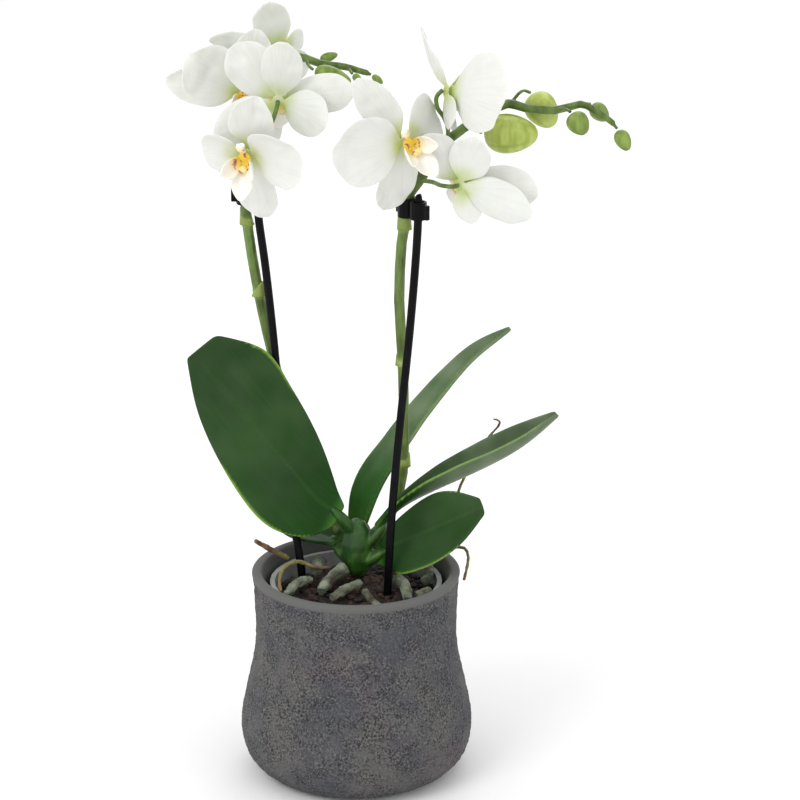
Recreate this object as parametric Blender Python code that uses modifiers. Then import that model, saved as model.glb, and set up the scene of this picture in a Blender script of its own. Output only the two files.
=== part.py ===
"""Potted orchid: a moth orchid with two flower spikes, in its nursery pot inside a cement cover pot.

The origin is the centre of the cover pot's flat base. +Z is up, +X is to the right of the plant's
front and +Y goes away from its front. Design sizes are in millimetres and are turned to metres
when a shape is made.
"""

import math
from collections import namedtuple

import bmesh
import bpy
from mathutils import Matrix, Vector

MM = 0.001
GAP = 0.3                # clearance between neighbouring solids

# Driving dimensions, in millimetres
POT_HEIGHT = 111.0
POT_RIM_RADIUS = 54.8
POT_WALL = 6.0
POT_FLOOR = 9.0
NURSERY_RADIUS = 45.0    # outer radius of the nursery pot's rim
NURSERY_BASE_RADIUS = 33.0
NURSERY_WALL = 1.2
NURSERY_TOP = 104.5      # height of its rim
BARK_TOP = 96.0          # height of the bark at the nursery pot's wall
BARK_MOUND = 5.0         # how much higher the bark is in the middle
CROWN = (0.5, 12.0)     # where the plant's stem stands, X and Y
SPIKE_RADIUS = 2.9
STAKE_RADIUS = 2.35
PEDICEL_RADIUS = 1.3
LEAF_THICKNESS = 1.9
TEPAL_THICKNESS = 0.9
CLIP_HEIGHT = 10.0
CLIP_Z = 306.0           # middle of both clips

# Outer profile of the cover pot: (share of the height, radius in mm)
POT_OUTLINE = ((1.0, POT_RIM_RADIUS), (0.95, 53.8), (0.8, 53.1), (0.62, 53.1), (0.42, 57.9),
               (0.26, 61.3), (0.15, 60.2), (0.07, 56.2), (0.0, 46.5))


# ---- Scene, collections and materials -------------------------------------------------------

def clear_scene():
    for obj in list(bpy.data.objects):
        bpy.data.objects.remove(obj)


def new_collection(name):
    collection = bpy.data.collections.new(name)
    bpy.context.scene.collection.children.link(collection)
    return collection


def material(name, colour, roughness, metallic=0.0):
    made = bpy.data.materials.new(name)
    made.use_nodes = True
    shader = made.node_tree.nodes["Principled BSDF"]
    shader.inputs["Base Color"].default_value = (*colour, 1.0)
    shader.inputs["Roughness"].default_value = roughness
    shader.inputs["Metallic"].default_value = metallic
    made.diffuse_color = (*colour, 1.0)
    return made


clear_scene()
PARTS = new_collection("potted_orchid")
CUTTERS = new_collection("cutters")
CEMENT = material("cement", (0.16, 0.16, 0.165), 0.95)
PLASTIC = material("nursery_plastic", (0.55, 0.56, 0.55), 0.5)
BLACK_PLASTIC = material("black_plastic", (0.012, 0.012, 0.016), 0.35)
BARK = material("bark", (0.05, 0.03, 0.022), 0.95)
LEAF = material("leaf", (0.035, 0.13, 0.022), 0.35)
STEM = material("stem", (0.10, 0.24, 0.045), 0.45)
ROOT = material("root", (0.42, 0.45, 0.38), 0.75)
DRY_ROOT = material("dry_root", (0.32, 0.22, 0.14), 0.85)
WHITE_TEPAL = material("white_tepal", (0.86, 0.87, 0.84), 0.55)
LIP = material("lip", (0.88, 0.78, 0.45), 0.5)
BUD = material("bud", (0.34, 0.50, 0.14), 0.45)


# ---- Making solids ---------------------------------------------------------------------------

def add_object(name, data, finish, collection=PARTS):
    obj = bpy.data.objects.new(name, data)
    collection.objects.link(obj)
    if finish:
        data.materials.append(finish)
    return obj


def add_bmesh(name, bm, finish, collection=PARTS):
    """A new object from a bmesh in millimetres."""
    bmesh.ops.scale(bm, vec=(MM, MM, MM), verts=bm.verts)
    mesh = bpy.data.meshes.new(name)
    bm.to_mesh(mesh)
    bm.free()
    mesh.shade_smooth()
    return add_object(name, mesh, finish, collection)


def solidify(obj, thickness):
    wall = obj.modifiers.new("thickness", "SOLIDIFY")
    wall.thickness = thickness * MM
    wall.offset = 0.0
    wall.use_even_offset = False


def smooth_route(points, steps):
    """Points on a smooth curve through the given points, with this many steps in each span."""
    points = [Vector(point) for point in points]
    ends = [points[0] * 2 - points[1]] + points + [points[-1] * 2 - points[-2]]
    route = []
    for before, start, end, after in zip(ends, ends[1:], ends[2:], ends[3:]):
        for step in range(steps):
            t = step / steps
            route.append(0.5 * (2 * start + (end - before) * t
                                + (2 * before - 5 * start + 4 * end - after) * t ** 2
                                + (3 * start - before - 3 * end + after) * t ** 3))
    return route + [points[-1]]


def blend(values, share):
    """The value at this share of a list of evenly spaced values."""
    place = min(max(share, 0.0), 1.0) * (len(values) - 1)
    low = min(int(place), len(values) - 2)
    return values[low] + (values[low + 1] - values[low]) * (place - low)


def add_tube(name, points, radii, finish, steps=3, sides=2, collection=PARTS):
    """A tube with filled caps through the points. The radii are spaced evenly along it."""
    route = smooth_route(points, steps)
    curve = bpy.data.curves.new(name, "CURVE")
    curve.dimensions = "3D"
    curve.bevel_depth = MM
    curve.bevel_resolution = sides
    curve.use_fill_caps = True
    spline = curve.splines.new("POLY")
    spline.points.add(len(route) - 1)
    for number, (point, place) in enumerate(zip(spline.points, route)):
        point.co = (*(place * MM), 1.0)
        point.radius = blend(radii, number / (len(route) - 1))
    return add_object(name, curve, finish, collection)


def as_mesh(obj):
    """Replaces a curve object with a closed mesh, so that it can take a Boolean."""
    graph = bpy.context.evaluated_depsgraph_get()
    mesh = bpy.data.meshes.new_from_object(obj.evaluated_get(graph))
    bm = bmesh.new()
    bm.from_mesh(mesh)
    bmesh.ops.remove_doubles(bm, verts=bm.verts, dist=1e-6)
    bm.to_mesh(mesh)
    bm.free()
    mesh.shade_smooth()
    name, collection, place = obj.name, obj.users_collection[0], obj.matrix_world.copy()
    bpy.data.objects.remove(obj)
    solid = bpy.data.objects.new(name, mesh)
    solid.matrix_world = place
    collection.objects.link(solid)
    return solid


def boolean(obj, tool, operation):
    tool.hide_render = True
    tool.display_type = "WIRE"
    change = obj.modifiers.new(tool.name, "BOOLEAN")
    change.operation = operation
    change.object = tool


def add_turned(name, profile, finish, steps):
    """A solid turned about Z. The profile runs from the axis, up the inside, over the rim, down the
    outside and back to the axis."""
    bm = bmesh.new()
    corners = [bm.verts.new((radius, 0.0, height)) for radius, height in profile]
    for start, end in zip(corners, corners[1:]):
        bm.edges.new((start, end))
    obj = add_bmesh(name, bm, finish)
    turn = obj.modifiers.new("turn", "SCREW")
    turn.steps = turn.render_steps = steps
    turn.use_merge_vertices = True
    turn.merge_threshold = 0.00001
    return obj


# ---- The two pots and the bark ---------------------------------------------------------------

def add_cover_pot():
    """A waisted cement pot: narrow at the waist, full at the belly, with a rounded rim."""
    spots = [(radius, 0.0, share * POT_HEIGHT) for share, radius in POT_OUTLINE]
    outside = [(spot.x, spot.z) for spot in smooth_route(spots, 2)]
    rim_round = 1.2
    outside[0] = (POT_RIM_RADIUS, POT_HEIGHT - rim_round)
    rim = [(POT_RIM_RADIUS - POT_WALL, POT_HEIGHT - rim_round),
           (POT_RIM_RADIUS - POT_WALL + rim_round, POT_HEIGHT),
           (POT_RIM_RADIUS - rim_round, POT_HEIGHT)]
    inside = [(radius - POT_WALL, height) for radius, height in reversed(outside[3:-3:2])]
    floor = [(0.0, POT_FLOOR), (42.0, POT_FLOOR)]
    add_turned("cover_pot", floor + inside + rim + outside + [(0.0, 0.0)], CEMENT, 40)


def add_nursery_pot():
    """The thin plastic pot that the orchid was grown in, with a rolled rim."""
    floor = POT_FLOOR + GAP
    lip = 1.3
    profile = [(0.0, floor + NURSERY_WALL), (NURSERY_BASE_RADIUS - NURSERY_WALL, floor + NURSERY_WALL),
               (NURSERY_RADIUS - lip - NURSERY_WALL, NURSERY_TOP),
               (NURSERY_RADIUS, NURSERY_TOP), (NURSERY_RADIUS, NURSERY_TOP - 3.0),
               (NURSERY_RADIUS - lip, NURSERY_TOP - 3.4), (NURSERY_BASE_RADIUS, floor), (0.0, floor)]
    add_turned("nursery_pot", profile, PLASTIC, 36)


def nursery_inner_radius(height):
    floor = POT_FLOOR + GAP
    share = (height - floor) / (NURSERY_TOP - floor)
    return NURSERY_BASE_RADIUS + (NURSERY_RADIUS - 1.3 - NURSERY_BASE_RADIUS) * share - NURSERY_WALL


def add_bark():
    """The bark mix that the roots grow in, as one filling with a mounded top and a hole for each
    stake."""
    bottom = POT_FLOOR + GAP + NURSERY_WALL + GAP
    clear = GAP + 0.3
    profile = [(0.0, BARK_TOP + BARK_MOUND), (18.0, BARK_TOP + BARK_MOUND * 0.8),
               (34.0, BARK_TOP + BARK_MOUND * 0.25),
               (nursery_inner_radius(BARK_TOP) - clear, BARK_TOP),
               (nursery_inner_radius(bottom) - clear, bottom), (0.0, bottom)]
    bark = add_turned("bark_mix", profile, BARK, 24)
    for name, points in STAKES.items():
        hole = as_mesh(add_tube("hole_for_" + name, points, (STAKE_RADIUS + GAP + 0.4,) * 2, None, 2,
                                collection=CUTTERS))
        boolean(bark, hole, "DIFFERENCE")


# ---- Stem and roots --------------------------------------------------------------------------

def add_stem():
    """The short stem that the leaves, the spikes and the roots grow from."""
    x, y = CROWN
    profile = [(0.0, 135.0), (4.0, 133.0), (6.4, 128.0), (8.2, 121.0), (8.4, 113.0), (7.0, 107.0),
               (4.5, 103.0), (0.0, 103.0)]
    stem = add_turned("stem", profile, STEM, 16)
    stem.location = (x * MM, y * MM, 0.0)


# Each root's route over the bark, and its radii from start to end
ROOTS = {
    "root_thick": (((-5.5, 1.5, 110.5), (-8, -0.5, 109), (-12, -3, 107), (-15.5, -8, 105.5),
                    (-18, -14, 103.5)), (3.6, 3.9, 3.6, 3.2, 2.7)),
    "root_front": (((-12.5, -20, 102.5), (-7, -16, 104.3), (-1, -11.5, 106), (3, -9, 106.4)),
                   (2.2, 2.6, 2.5, 2.2)),
    "root_branch": (((4.5, -14, 103.8), (7.5, -21, 102.4), (12, -27, 100.8), (15.5, -31, 99.6)),
                    (1.9, 2.2, 2.2, 1.8)),
    "root_right": (((21, -2, 106), (24.5, -6.5, 105.2), (26.5, -12, 103.5), (27, -19, 101)),
                   (2.6, 3.0, 3.0, 2.6)),
    "root_right_low": (((31, -14.5, 101.6), (35, -12.5, 102.2), (38, -8, 102.2)), (2.3, 2.5, 2.2)),
    "root_right_edge": (((36.5, 1, 103), (38, 8, 105), (38, 15, 106.5)), (2.6, 3.0, 2.4)),
    "root_left": (((-36, -14, 100.8), (-33, -7, 103), (-28.5, -1, 104), (-24, 3, 103.5)),
                  (2.3, 2.6, 2.6, 2.2)),
    "root_stub": (((-21, 9, 106.2), (-20, 17, 107.5), (-19, 25, 105)), (3.4, 3.9, 3.2)),
}
DRY_ROOTS = {
    "dry_root_loop": (((-39.3, -9, 101.5), (-40, -3.5, 106), (-38, 1, 110.5), (-32.5, 5, 112.5),
                       (-27.5, 8, 111), (-21, 4.5, 109.5), (-13.5, 9.5, 107.5)), (1.0, 1.1, 1.0)),
    "dry_root_over_rim": (((46, 30, 106.5), (51, 25, 112.8), (57, 20, 114.5), (59, 13, 112),
                           (57.8, 9, 106), (56.5, 6, 102)), (0.9, 0.9, 0.7)),
    "dry_root_curl": (((37, 22, 106), (46, 26, 121), (55, 28, 147), (65, 33, 166),
                       (74.5, 34, 177.5), (75, 34, 181), (72, 34, 181.6)), (0.9, 0.8, 0.5)),
    "dry_stick": (((-52.5, 2.0, 125.6), (-45, 8, 118.6), (-36, 14, 111.2)), (1.2, 1.5, 1.3)),
}


def add_roots():
    for finish, roots in ((ROOT, ROOTS), (DRY_ROOT, DRY_ROOTS)):
        for name, (points, radii) in roots.items():
            add_tube(name, points, radii, finish, 2)


# ---- Leaves ----------------------------------------------------------------------------------

# A leaf has its midrib's points, the way its upper face looks at its base and its tip, the widths
# of its left and its right half at even steps from base to tip, and how steeply its halves rise
# from the midrib (fold) and how much steeper they get towards their edges (curl), in degrees.
Leaf = namedtuple("Leaf", "midrib face_base face_tip left right fold curl")
LEAVES = {
    "leaf_left": Leaf([(-8, 8, 138), (-19.5, 9, 145.5), (-34, 12, 162), (-60, 18, 192),
                       (-84, 23, 222)],
                      (0.1, -0.85, 0.5), (0.2, -0.85, 0.45),
                      (7, 19, 28, 32, 31, 26, 18, 5), (5, 10, 14, 18.5, 24.5, 29, 31, 15), 2, 14),
    "leaf_back": Leaf([(-8.5, 18, 119.5), (-18, 26, 119.5), (-29, 34, 120), (-41, 42, 120.5)],
                      (-0.1, -0.3, 0.95), (-0.1, -0.3, 0.95),
                      (5, 8, 10, 11, 9, 4), (6, 14, 18, 19, 16, 5), 4, 12),
    "leaf_upright": Leaf([(2.5, 26, 120), (11, 34, 143.5), (22, 40, 161), (39, 46, 185.5),
                          (61, 52, 210), (81.5, 57, 224.5)],
                         (-0.75, -0.5, 0.45), (-0.6, -0.45, 0.7),
                         (9, 14, 14, 12, 10, 8, 6, 1.5), (3, 8, 10, 11, 12, 9, 6, 1.5), 14, 34),
    "leaf_long": Leaf([(11.5, 12.5, 127.5), (23, 11.5, 141), (44, 14, 151), (65, 19, 159),
                       (86, 24, 169.5), (106, 29.5, 185.5)],
                      (-0.5, -0.2, 0.85), (-0.4, -0.2, 0.9),
                      (4, 4, 8, 12, 14, 14, 11, 3), (4, 6, 14, 19, 19, 16, 12, 3), 30, 40),
    "leaf_low": Leaf([(11.5, 9, 115), (21, 4, 123), (41, -3, 134.5), (66, -10, 149)],
                     (-0.35, -0.75, 0.6), (-0.35, -0.8, 0.5),
                     (4, 6, 10, 14, 17, 16, 5), (6, 12, 19, 21, 20, 15, 4), 4, 20),
}
LEAF_ROWS = 14
LEAF_COLUMNS = 6


def half_width(share, widest_at, blunt, half, base, tip):
    """Half the width of a leaf or tepal at this share of its length: a rounded oval that starts as
    wide as its base and ends as wide as its tip."""
    stretched = share ** (math.log(0.5) / math.log(widest_at))
    oval = half * (1.0 - abs(2.0 * stretched - 1.0) ** blunt) ** (1.0 / blunt)
    ends = base * (1.0 - share) + tip * share
    return max(math.hypot(oval, ends * abs(2.0 * share - 1.0) ** 2), 0.5)


def wing(across, half, fold, curl):
    """Where a point across a folded, curling blade lies: (sideways, up) in millimetres."""
    side = abs(across) * half
    if abs(curl) < 0.01:
        sideways, up = side * math.cos(fold), side * math.sin(fold)
    else:
        end = fold + curl * abs(across)
        sideways = half * (math.sin(end) - math.sin(fold)) / curl
        up = half * (math.cos(fold) - math.cos(end)) / curl
    return math.copysign(sideways, across), up


def along_leaf(widths, share):
    """The width that evenly spaced widths give at this share of the length, as a smooth curve."""
    points = smooth_route([(step, width, 0.0) for step, width in enumerate(widths)], 4)
    return max(blend(points, share).y, 0.6)


def add_leaf(name, leaf):
    route = smooth_route(leaf.midrib, 4)
    bm = bmesh.new()
    bmesh.ops.create_grid(bm, x_segments=LEAF_ROWS, y_segments=LEAF_COLUMNS, size=1.0)
    for vert in bm.verts:
        share, across = 1.0 - (0.5 - vert.co.x / 2.0) ** 1.3, vert.co.y
        spot = blend(route, share)
        ahead = (blend(route, share + 0.02) - blend(route, share - 0.02)).normalized()
        face = Vector(leaf.face_base).lerp(Vector(leaf.face_tip), share)
        side = ahead.cross(face).normalized()
        up = side.cross(ahead)
        half = along_leaf(leaf.right if across > 0.0 else leaf.left, share)
        sideways, rise = wing(across, half, math.radians(leaf.fold), math.radians(leaf.curl))
        vert.co = spot + side * sideways + up * rise
    solidify(add_bmesh(name, bm, LEAF), LEAF_THICKNESS)


# ---- Flowers ---------------------------------------------------------------------------------

# A tepal grows from the flower's hub at an angle, clockwise from up as seen from the front. Pitch
# tips it to the front (+) or the back (-) at its base and bend more along its length. Cup brings
# its edges forward. Angles are in degrees.
Tepal = namedtuple("Tepal", "angle length width pitch bend cup twist", defaults=(0, 0, 0, 0))
# A flower's hub stands at a place; turn swings its face to the right, nod tips it down and roll
# turns it clockwise.
Flower = namedtuple("Flower", "place turn nod roll sepals petals")

HUB_SIDES = 30
HUB_RADIUS = 3.0
WHORL_SPACING = 2.9      # from the sepals to the petals, and from the petals to the lip
COLUMN = Tepal(0, 10, 6, 62, -70, -30)
LIP_PARTS = (COLUMN, Tepal(110, 15, 12, 48, 30, 30), Tepal(250, 15, 12, 48, 30, 30),
             Tepal(180, 20, 13, 32, 24, 20))

FLOWERS = {
    "left_flower_1": Flower(
        (-38.5, 44, 378), 195, -10, 0,
        (Tepal(18, 26, 21, -6, 0, 14), Tepal(140, 30, 20, 10), Tepal(215, 26, 20, 24)),
        (Tepal(78, 36, 11, -2, -8, 10), Tepal(250, 20, 21, 44, 0, 10))),
    "left_flower_2": Flower(
        (-55, 14.5, 361), 8, 5, 0,
        (Tepal(14, 30, 22, -6, -8, 12), Tepal(150, 30, 20, 6, -8, 12),
         Tepal(276, 38, 22, -20, 10, 16)),
        (Tepal(66, 24, 24, 4, -10, 10), Tepal(306, 34, 34, 14, -14, 14))),
    "left_flower_3": Flower(
        (-36.6, -14, 364), 175, 5, -10,
        (Tepal(2, 32, 22, -22, -8, 12), Tepal(130, 34, 22, -2, -8, 12),
         Tepal(262, 30, 24, -30, -8, 14)),
        (Tepal(52, 33, 26, 4, -14, 12), Tepal(290, 37, 21, -4, -14, 12))),
    "left_flower_4": Flower(
        (-52, -29, 340.5), -20, 22, 0,
        (Tepal(18, 33, 26, 6, -8, 14), Tepal(176, 37, 24, 6, -8, 14),
         Tepal(236, 34, 24, -16, -8, 14)),
        (Tepal(76, 34, 36, 24, -14, 14), Tepal(276, 22, 24, 6, -14, 14))),
    "right_flower_1": Flower(
        (25.5, -20, 344.5), 33, 5, -32,
        (Tepal(354, 39, 21, -6, -8, 14), Tepal(132, 24, 18, -36, -10, 12),
         Tepal(214, 38, 25, -8, -10, 14)),
        (Tepal(98, 23, 38, -12, -8, 10), Tepal(299, 39, 38, 4, -14, 10))),
    "right_flower_2": Flower(
        (48.4, -9, 367.5), 108, 12, 10,
        (Tepal(30, 35, 16, -40, 40, 14, 40), Tepal(148, 22, 18, 28, 0, 14),
         Tepal(202, 18, 17, 6, 0, 8)),
        (Tepal(74, 28, 28, 42, 0, 14), Tepal(273, 38, 42, 4, 36, 10))),
    "right_flower_3": Flower(
        (52.8, -17, 322.7), 170, 0, -20,
        (Tepal(358, 27, 22, -14, -8, 4), Tepal(220, 19, 15, 4, 0, 6),
         Tepal(272, 38, 22, -8, -10, 14)),
        (Tepal(56, 29, 22, -8, -8, 2), Tepal(284, 37, 24, 10, -14, 14))),
}


def tepal_point(tepal, share, across, hub, half):
    """A point on a tepal in the flower's own frame: X right, Y back, Z up."""
    angle = math.radians(tepal.angle)
    outward = Vector((math.sin(angle), 0.0, math.cos(angle)))
    sideways = Vector((math.cos(angle), 0.0, -math.sin(angle)))
    front = Vector((0.0, -1.0, 0.0))
    pitch, bend = math.radians(tepal.pitch), math.radians(tepal.bend)
    if abs(bend) < 0.01:
        out, forward = share * math.cos(pitch), share * math.sin(pitch)
    else:
        out = (math.sin(pitch + bend * share) - math.sin(pitch)) / bend
        forward = (math.cos(pitch) - math.cos(pitch + bend * share)) / bend
    slope = pitch + bend * share
    up = front * math.cos(slope) - outward * math.sin(slope)
    turned = Matrix.Rotation(math.radians(tepal.twist) * share, 3, sideways.cross(up))
    side, rise = wing(across, half, 0.0, math.radians(tepal.cup) * 2.0)
    spot = outward * (hub + tepal.length * out) + front * tepal.length * forward
    return spot + turned @ (sideways * side + up * rise)


def flower_frame(flower, forward):
    turn = (Matrix.Rotation(math.radians(flower.turn), 4, "Z")
            @ Matrix.Rotation(math.radians(flower.nod), 4, "X")
            @ Matrix.Rotation(math.radians(flower.roll), 4, "Y"))
    return Matrix.Translation(flower.place) @ turn @ Matrix.Translation((0.0, -forward, 0.0))


def add_whorl(name, tepals, frame, sides_each, rows, widest_at, finish):
    """Tepals grown out of one small round hub: rows are extruded one by one from the hub's edge."""
    bm = bmesh.new()
    bmesh.ops.create_circle(bm, cap_ends=True, segments=HUB_SIDES, radius=HUB_RADIUS,
                            matrix=Matrix.Rotation(math.radians(90), 4, "X"))
    rim = list(bm.verts)
    for tepal in tepals:
        angle = math.radians(tepal.angle)
        outward = Vector((math.sin(angle), 0.0, math.cos(angle)))
        sideways = Vector((math.cos(angle), 0.0, -math.sin(angle)))
        row = sorted(rim, key=lambda vert: -vert.co.dot(outward))[:sides_each + 1]
        for step in range(1, rows + 1):
            share = step / rows
            edges = [edge for edge in bm.edges if all(vert in row for vert in edge.verts)]
            grown = bmesh.ops.extrude_edge_only(bm, edges=edges)["geom"]
            row = [item for item in grown if isinstance(item, bmesh.types.BMVert)]
            row.sort(key=lambda vert: vert.co.dot(sideways))
            half = half_width(share, widest_at, 2.2, tepal.width / 2.0, 2.6, tepal.width * 0.09)
            for number, vert in enumerate(row):
                across = 2.0 * number / sides_each - 1.0
                vert.co = tepal_point(tepal, share, across, HUB_RADIUS * 0.8, half)
    bmesh.ops.recalc_face_normals(bm, faces=bm.faces)
    bmesh.ops.transform(bm, matrix=frame, verts=bm.verts)
    solidify(add_bmesh(name, bm, finish), TEPAL_THICKNESS)


def add_flower(name, flower):
    add_whorl(name + "_sepals", flower.sepals, flower_frame(flower, -WHORL_SPACING), 4, 5, 0.48,
              WHITE_TEPAL)
    add_whorl(name + "_petals", flower.petals, flower_frame(flower, 0.0), 4, 6, 0.56, WHITE_TEPAL)
    add_whorl(name + "_lip", LIP_PARTS, flower_frame(flower, WHORL_SPACING), 4, 4, 0.6, LIP)


# ---- Spikes, buds, stakes and clips -----------------------------------------------------------

SPIKES = {
    "spike_right": [(10, 22, 115), (13.5, 23.5, 124), (20, 24.5, 136.5), (24.5, 22, 156.5),
                    (25, 13, 188.5), (24.4, 5, 222.5), (22.6, 2, 256.5), (23.8, 0, 287), (26, 0, 299),
                    (26.5, 0, 306), (27.3, 0, 312), (32, 2, 318), (37, 5, 325), (43, 8, 334.5),
                    (51.5, 10, 341.5), (58, 11, 346), (68, 10, 352.5), (77, 9, 357), (85.5, 8, 355),
                    (100.5, 7, 354), (113, 6, 357.4), (119, 5, 355), (125.3, 4, 351.3),
                    (129.7, 2, 348.2)],
    "spike_left": [(-9, 22, 124), (-15, 25, 133), (-25, 31, 149), (-34, 37, 175), (-42.5, 41, 209.5),
                   (-48.8, 38.5, 240.5), (-53.4, 33, 271.5), (-55.6, 27, 294), (-55.8, 25, 300),
                   (-55.6, 25, 306), (-55.2, 25, 313), (-54, 25.5, 325.5), (-52.5, 26.5, 339.5),
                   (-50.3, 27, 352.5), (-46.8, 27, 364.5), (-39.5, 27, 373), (-31.5, 27, 376.5),
                   (-25, 26, 376.5), (-17, 24, 374), (-5.5, 22, 373), (1, 21, 371.5), (7, 20, 370)],
}
SPIKE_TAPER = (1.0, 1.0, 1.0, 1.0, 0.95, 0.9, 0.85, 0.7, 0.55)

# A bud hangs from its base to its tip
Bud = namedtuple("Bud", "base tip width")
BUDS = {
    "right_bud_1": Bud((64.5, 6, 342.5), (92.5, 0, 343.5), 22.5),
    "right_bud_2": Bud((89, 20, 359.5), (100.5, 19, 342.5), 18.5),
    "right_bud_3": Bud((108, -3, 355), (115.5, -5, 344.5), 12.5),
    "right_bud_4": Bud((119, 12.5, 355.5), (127.5, 13, 347.5), 10),
    "right_bud_5": Bud((131.6, 0.5, 345.5), (137, -2.5, 335.5), 9),
    "left_bud_1": Bud((-17.5, 33, 374), (-8.3, 33, 377), 5.5),
    "left_bud_2": Bud((-20, 14, 373), (-1, 12, 366.5), 11),
    "left_bud_3": Bud((9, 19.5, 369), (14.5, 18.5, 365), 4.2),
    "left_bud_4": Bud((-0.5, 15, 370.5), (4, 13.5, 366.5), 4.5),
}

# Each stalk leaves its spike at the first point and ends behind its flower or bud
STALKS = {
    "spike_left": {
        "left_flower_1": [(-37, 27, 374.5), (-34, 31, 376.5), (-35.5, 37, 377)],
        "left_flower_2": [(-50.5, 27, 350), (-53, 26, 357), (-56, 23, 360.5)],
        "left_flower_3": [(-53, 26, 335), (-51, 12, 334), (-47, -6, 339), (-43, -19, 347),
                          (-39.5, -25, 356), (-37.3, -24, 362.5)],
        "left_flower_4": [(-54, 25.5, 322), (-54, 8, 327), (-51, -9, 337), (-49.6, -18, 342.5)],
        "left_bud_1": [(-22, 25.5, 375.8), (-20, 31, 374.5)],
        "left_bud_2": [(-24, 26, 376.3), (-23, 19, 374.5)],
        "left_bud_3": [(6, 20.2, 370.3)],
        "left_bud_4": [(-4, 22, 372.8), (-2, 18, 371.8)],
    },
    "spike_right": {
        "right_flower_1": [(36, 4.5, 323.5), (30, 0, 325), (25, -5, 330), (21.5, -10, 338),
                           (22, -14, 343)],
        "right_flower_2": [(45, 8.7, 336.5), (46.9, 6.5, 341), (46.6, 2, 347), (44.5, -4, 353.5),
                           (41.5, -9, 359), (41, -11, 365)],
        "right_flower_3": [(33, 2.5, 319), (39, -8, 321), (43.5, -19, 322), (49, -23, 322.5)],
        "right_bud_1": [(57.5, 11, 345.7), (60.5, 9, 343.8)],
        "right_bud_2": [(78, 9, 356.8), (84, 15, 362)],
        "right_bud_3": [(102, 7, 354.2), (105.5, 1.5, 355.8)],
        "right_bud_4": [(113.5, 6, 357.3), (116, 10, 356.7)],
        "right_bud_5": [(129, 2.2, 348.6)],
    },
}


def behind_flower(flower):
    """Where a flower's stalk ends, just clear of the back of its sepals."""
    return flower_frame(flower, -WHORL_SPACING - TEPAL_THICKNESS / 2.0 - 4 * GAP).translation


def before_bud(bud):
    base, tip = Vector(bud.base), Vector(bud.tip)
    return base - (tip - base).normalized() * 2 * GAP


def add_spike(name, points):
    """A flower spike with the stalks of its flowers and buds grown out of it."""
    spike = as_mesh(add_tube(name, points, [SPIKE_RADIUS * part for part in SPIKE_TAPER], STEM, 2))
    for grown, route in STALKS[name].items():
        if grown in FLOWERS:
            end, radius = behind_flower(FLOWERS[grown]), PEDICEL_RADIUS
        else:
            end, radius = before_bud(BUDS[grown]), PEDICEL_RADIUS * 0.75
        stalk = as_mesh(add_tube("stalk_of_" + grown, route + [end], (radius,) * 2, STEM, 3, 1,
                                 collection=CUTTERS))
        boolean(spike, stalk, "UNION")


def add_bud(name, bud):
    """A closed flower bud: a sphere drawn out along its axis, fullest near its base."""
    base, tip = Vector(bud.base), Vector(bud.tip)
    bm = bmesh.new()
    bmesh.ops.create_uvsphere(bm, u_segments=8, v_segments=7, radius=1.0)
    for vert in bm.verts:
        drawn_out = 1.0 - 0.22 * vert.co.z
        vert.co = (vert.co.x * drawn_out * bud.width / 2.0, vert.co.y * drawn_out * bud.width / 2.0,
                   (vert.co.z + 1.0) / 2.0 * (tip - base).length)
    along = (tip - base).to_track_quat("Z", "Y").to_matrix().to_4x4()
    bmesh.ops.transform(bm, matrix=Matrix.Translation(base) @ along, verts=bm.verts)
    add_bmesh(name, bm, BUD)


STAKES = {
    "stake_right": [(12, -2, 20), (16.5, -8.5, 100), (18, -9, 134), (22, -9, 184), (27.8, -8.5, 241),
                    (31.6, -7.2, 290), (32.4, -6.7, 315)],
    "stake_left": [(-22, 8, 20), (-28.5, 14, 101), (-31.5, 19, 119), (-36.2, 27, 147.5),
                   (-39.5, 32, 180), (-42.3, 34, 220.5), (-46.6, 30, 269), (-49.4, 25.5, 293),
                   (-49.8, 24.5, 311.5)],
}
CLIPS = {"clip_right": ((26.6, 0.0), (32.2, -6.75)), "clip_left": ((-55.6, 25.0), (-49.7, 24.8))}


def add_cylinder(name, centre, radius, height, finish, collection):
    bm = bmesh.new()
    bmesh.ops.create_cone(bm, cap_ends=True, segments=14, radius1=radius, radius2=radius, depth=height)
    bmesh.ops.translate(bm, vec=(*centre, CLIP_Z), verts=bm.verts)
    return add_bmesh(name, bm, finish, collection)


def add_clip(name, spike_at, stake_at):
    """A plastic clip: a ring round the spike, a ring round the stake, and a pinch tab on each."""
    clip = add_cylinder(name, spike_at, SPIKE_RADIUS + 2.1, CLIP_HEIGHT, BLACK_PLASTIC, PARTS)
    ring = add_cylinder(name + "_ring", stake_at, STAKE_RADIUS + 2.0, CLIP_HEIGHT * 0.9, None, CUTTERS)
    boolean(clip, ring, "UNION")
    across = (Vector(stake_at) - Vector(spike_at)).normalized()
    for number, (centre, way) in enumerate(((spike_at, -1.0), (stake_at, 1.0))):
        bm = bmesh.new()
        bmesh.ops.create_cube(bm, size=1.0)
        bmesh.ops.scale(bm, vec=(4.0, 2.4, CLIP_HEIGHT * 0.75), verts=bm.verts)
        place = Vector(centre) + across * way * 5.6
        turn = Matrix.Rotation(math.atan2(across.y, across.x), 4, "Z")
        bmesh.ops.transform(bm, matrix=Matrix.Translation((*place, CLIP_Z)) @ turn, verts=bm.verts)
        boolean(clip, add_bmesh(f"{name}_tab_{number}", bm, None, CUTTERS), "UNION")
    for number, (centre, radius) in enumerate(((spike_at, SPIKE_RADIUS), (stake_at, STAKE_RADIUS))):
        hole = add_cylinder(f"{name}_hole_{number}", centre, radius + 0.7, CLIP_HEIGHT * 1.5, None,
                            CUTTERS)
        boolean(clip, hole, "DIFFERENCE")


# ---- The whole plant --------------------------------------------------------------------------

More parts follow.
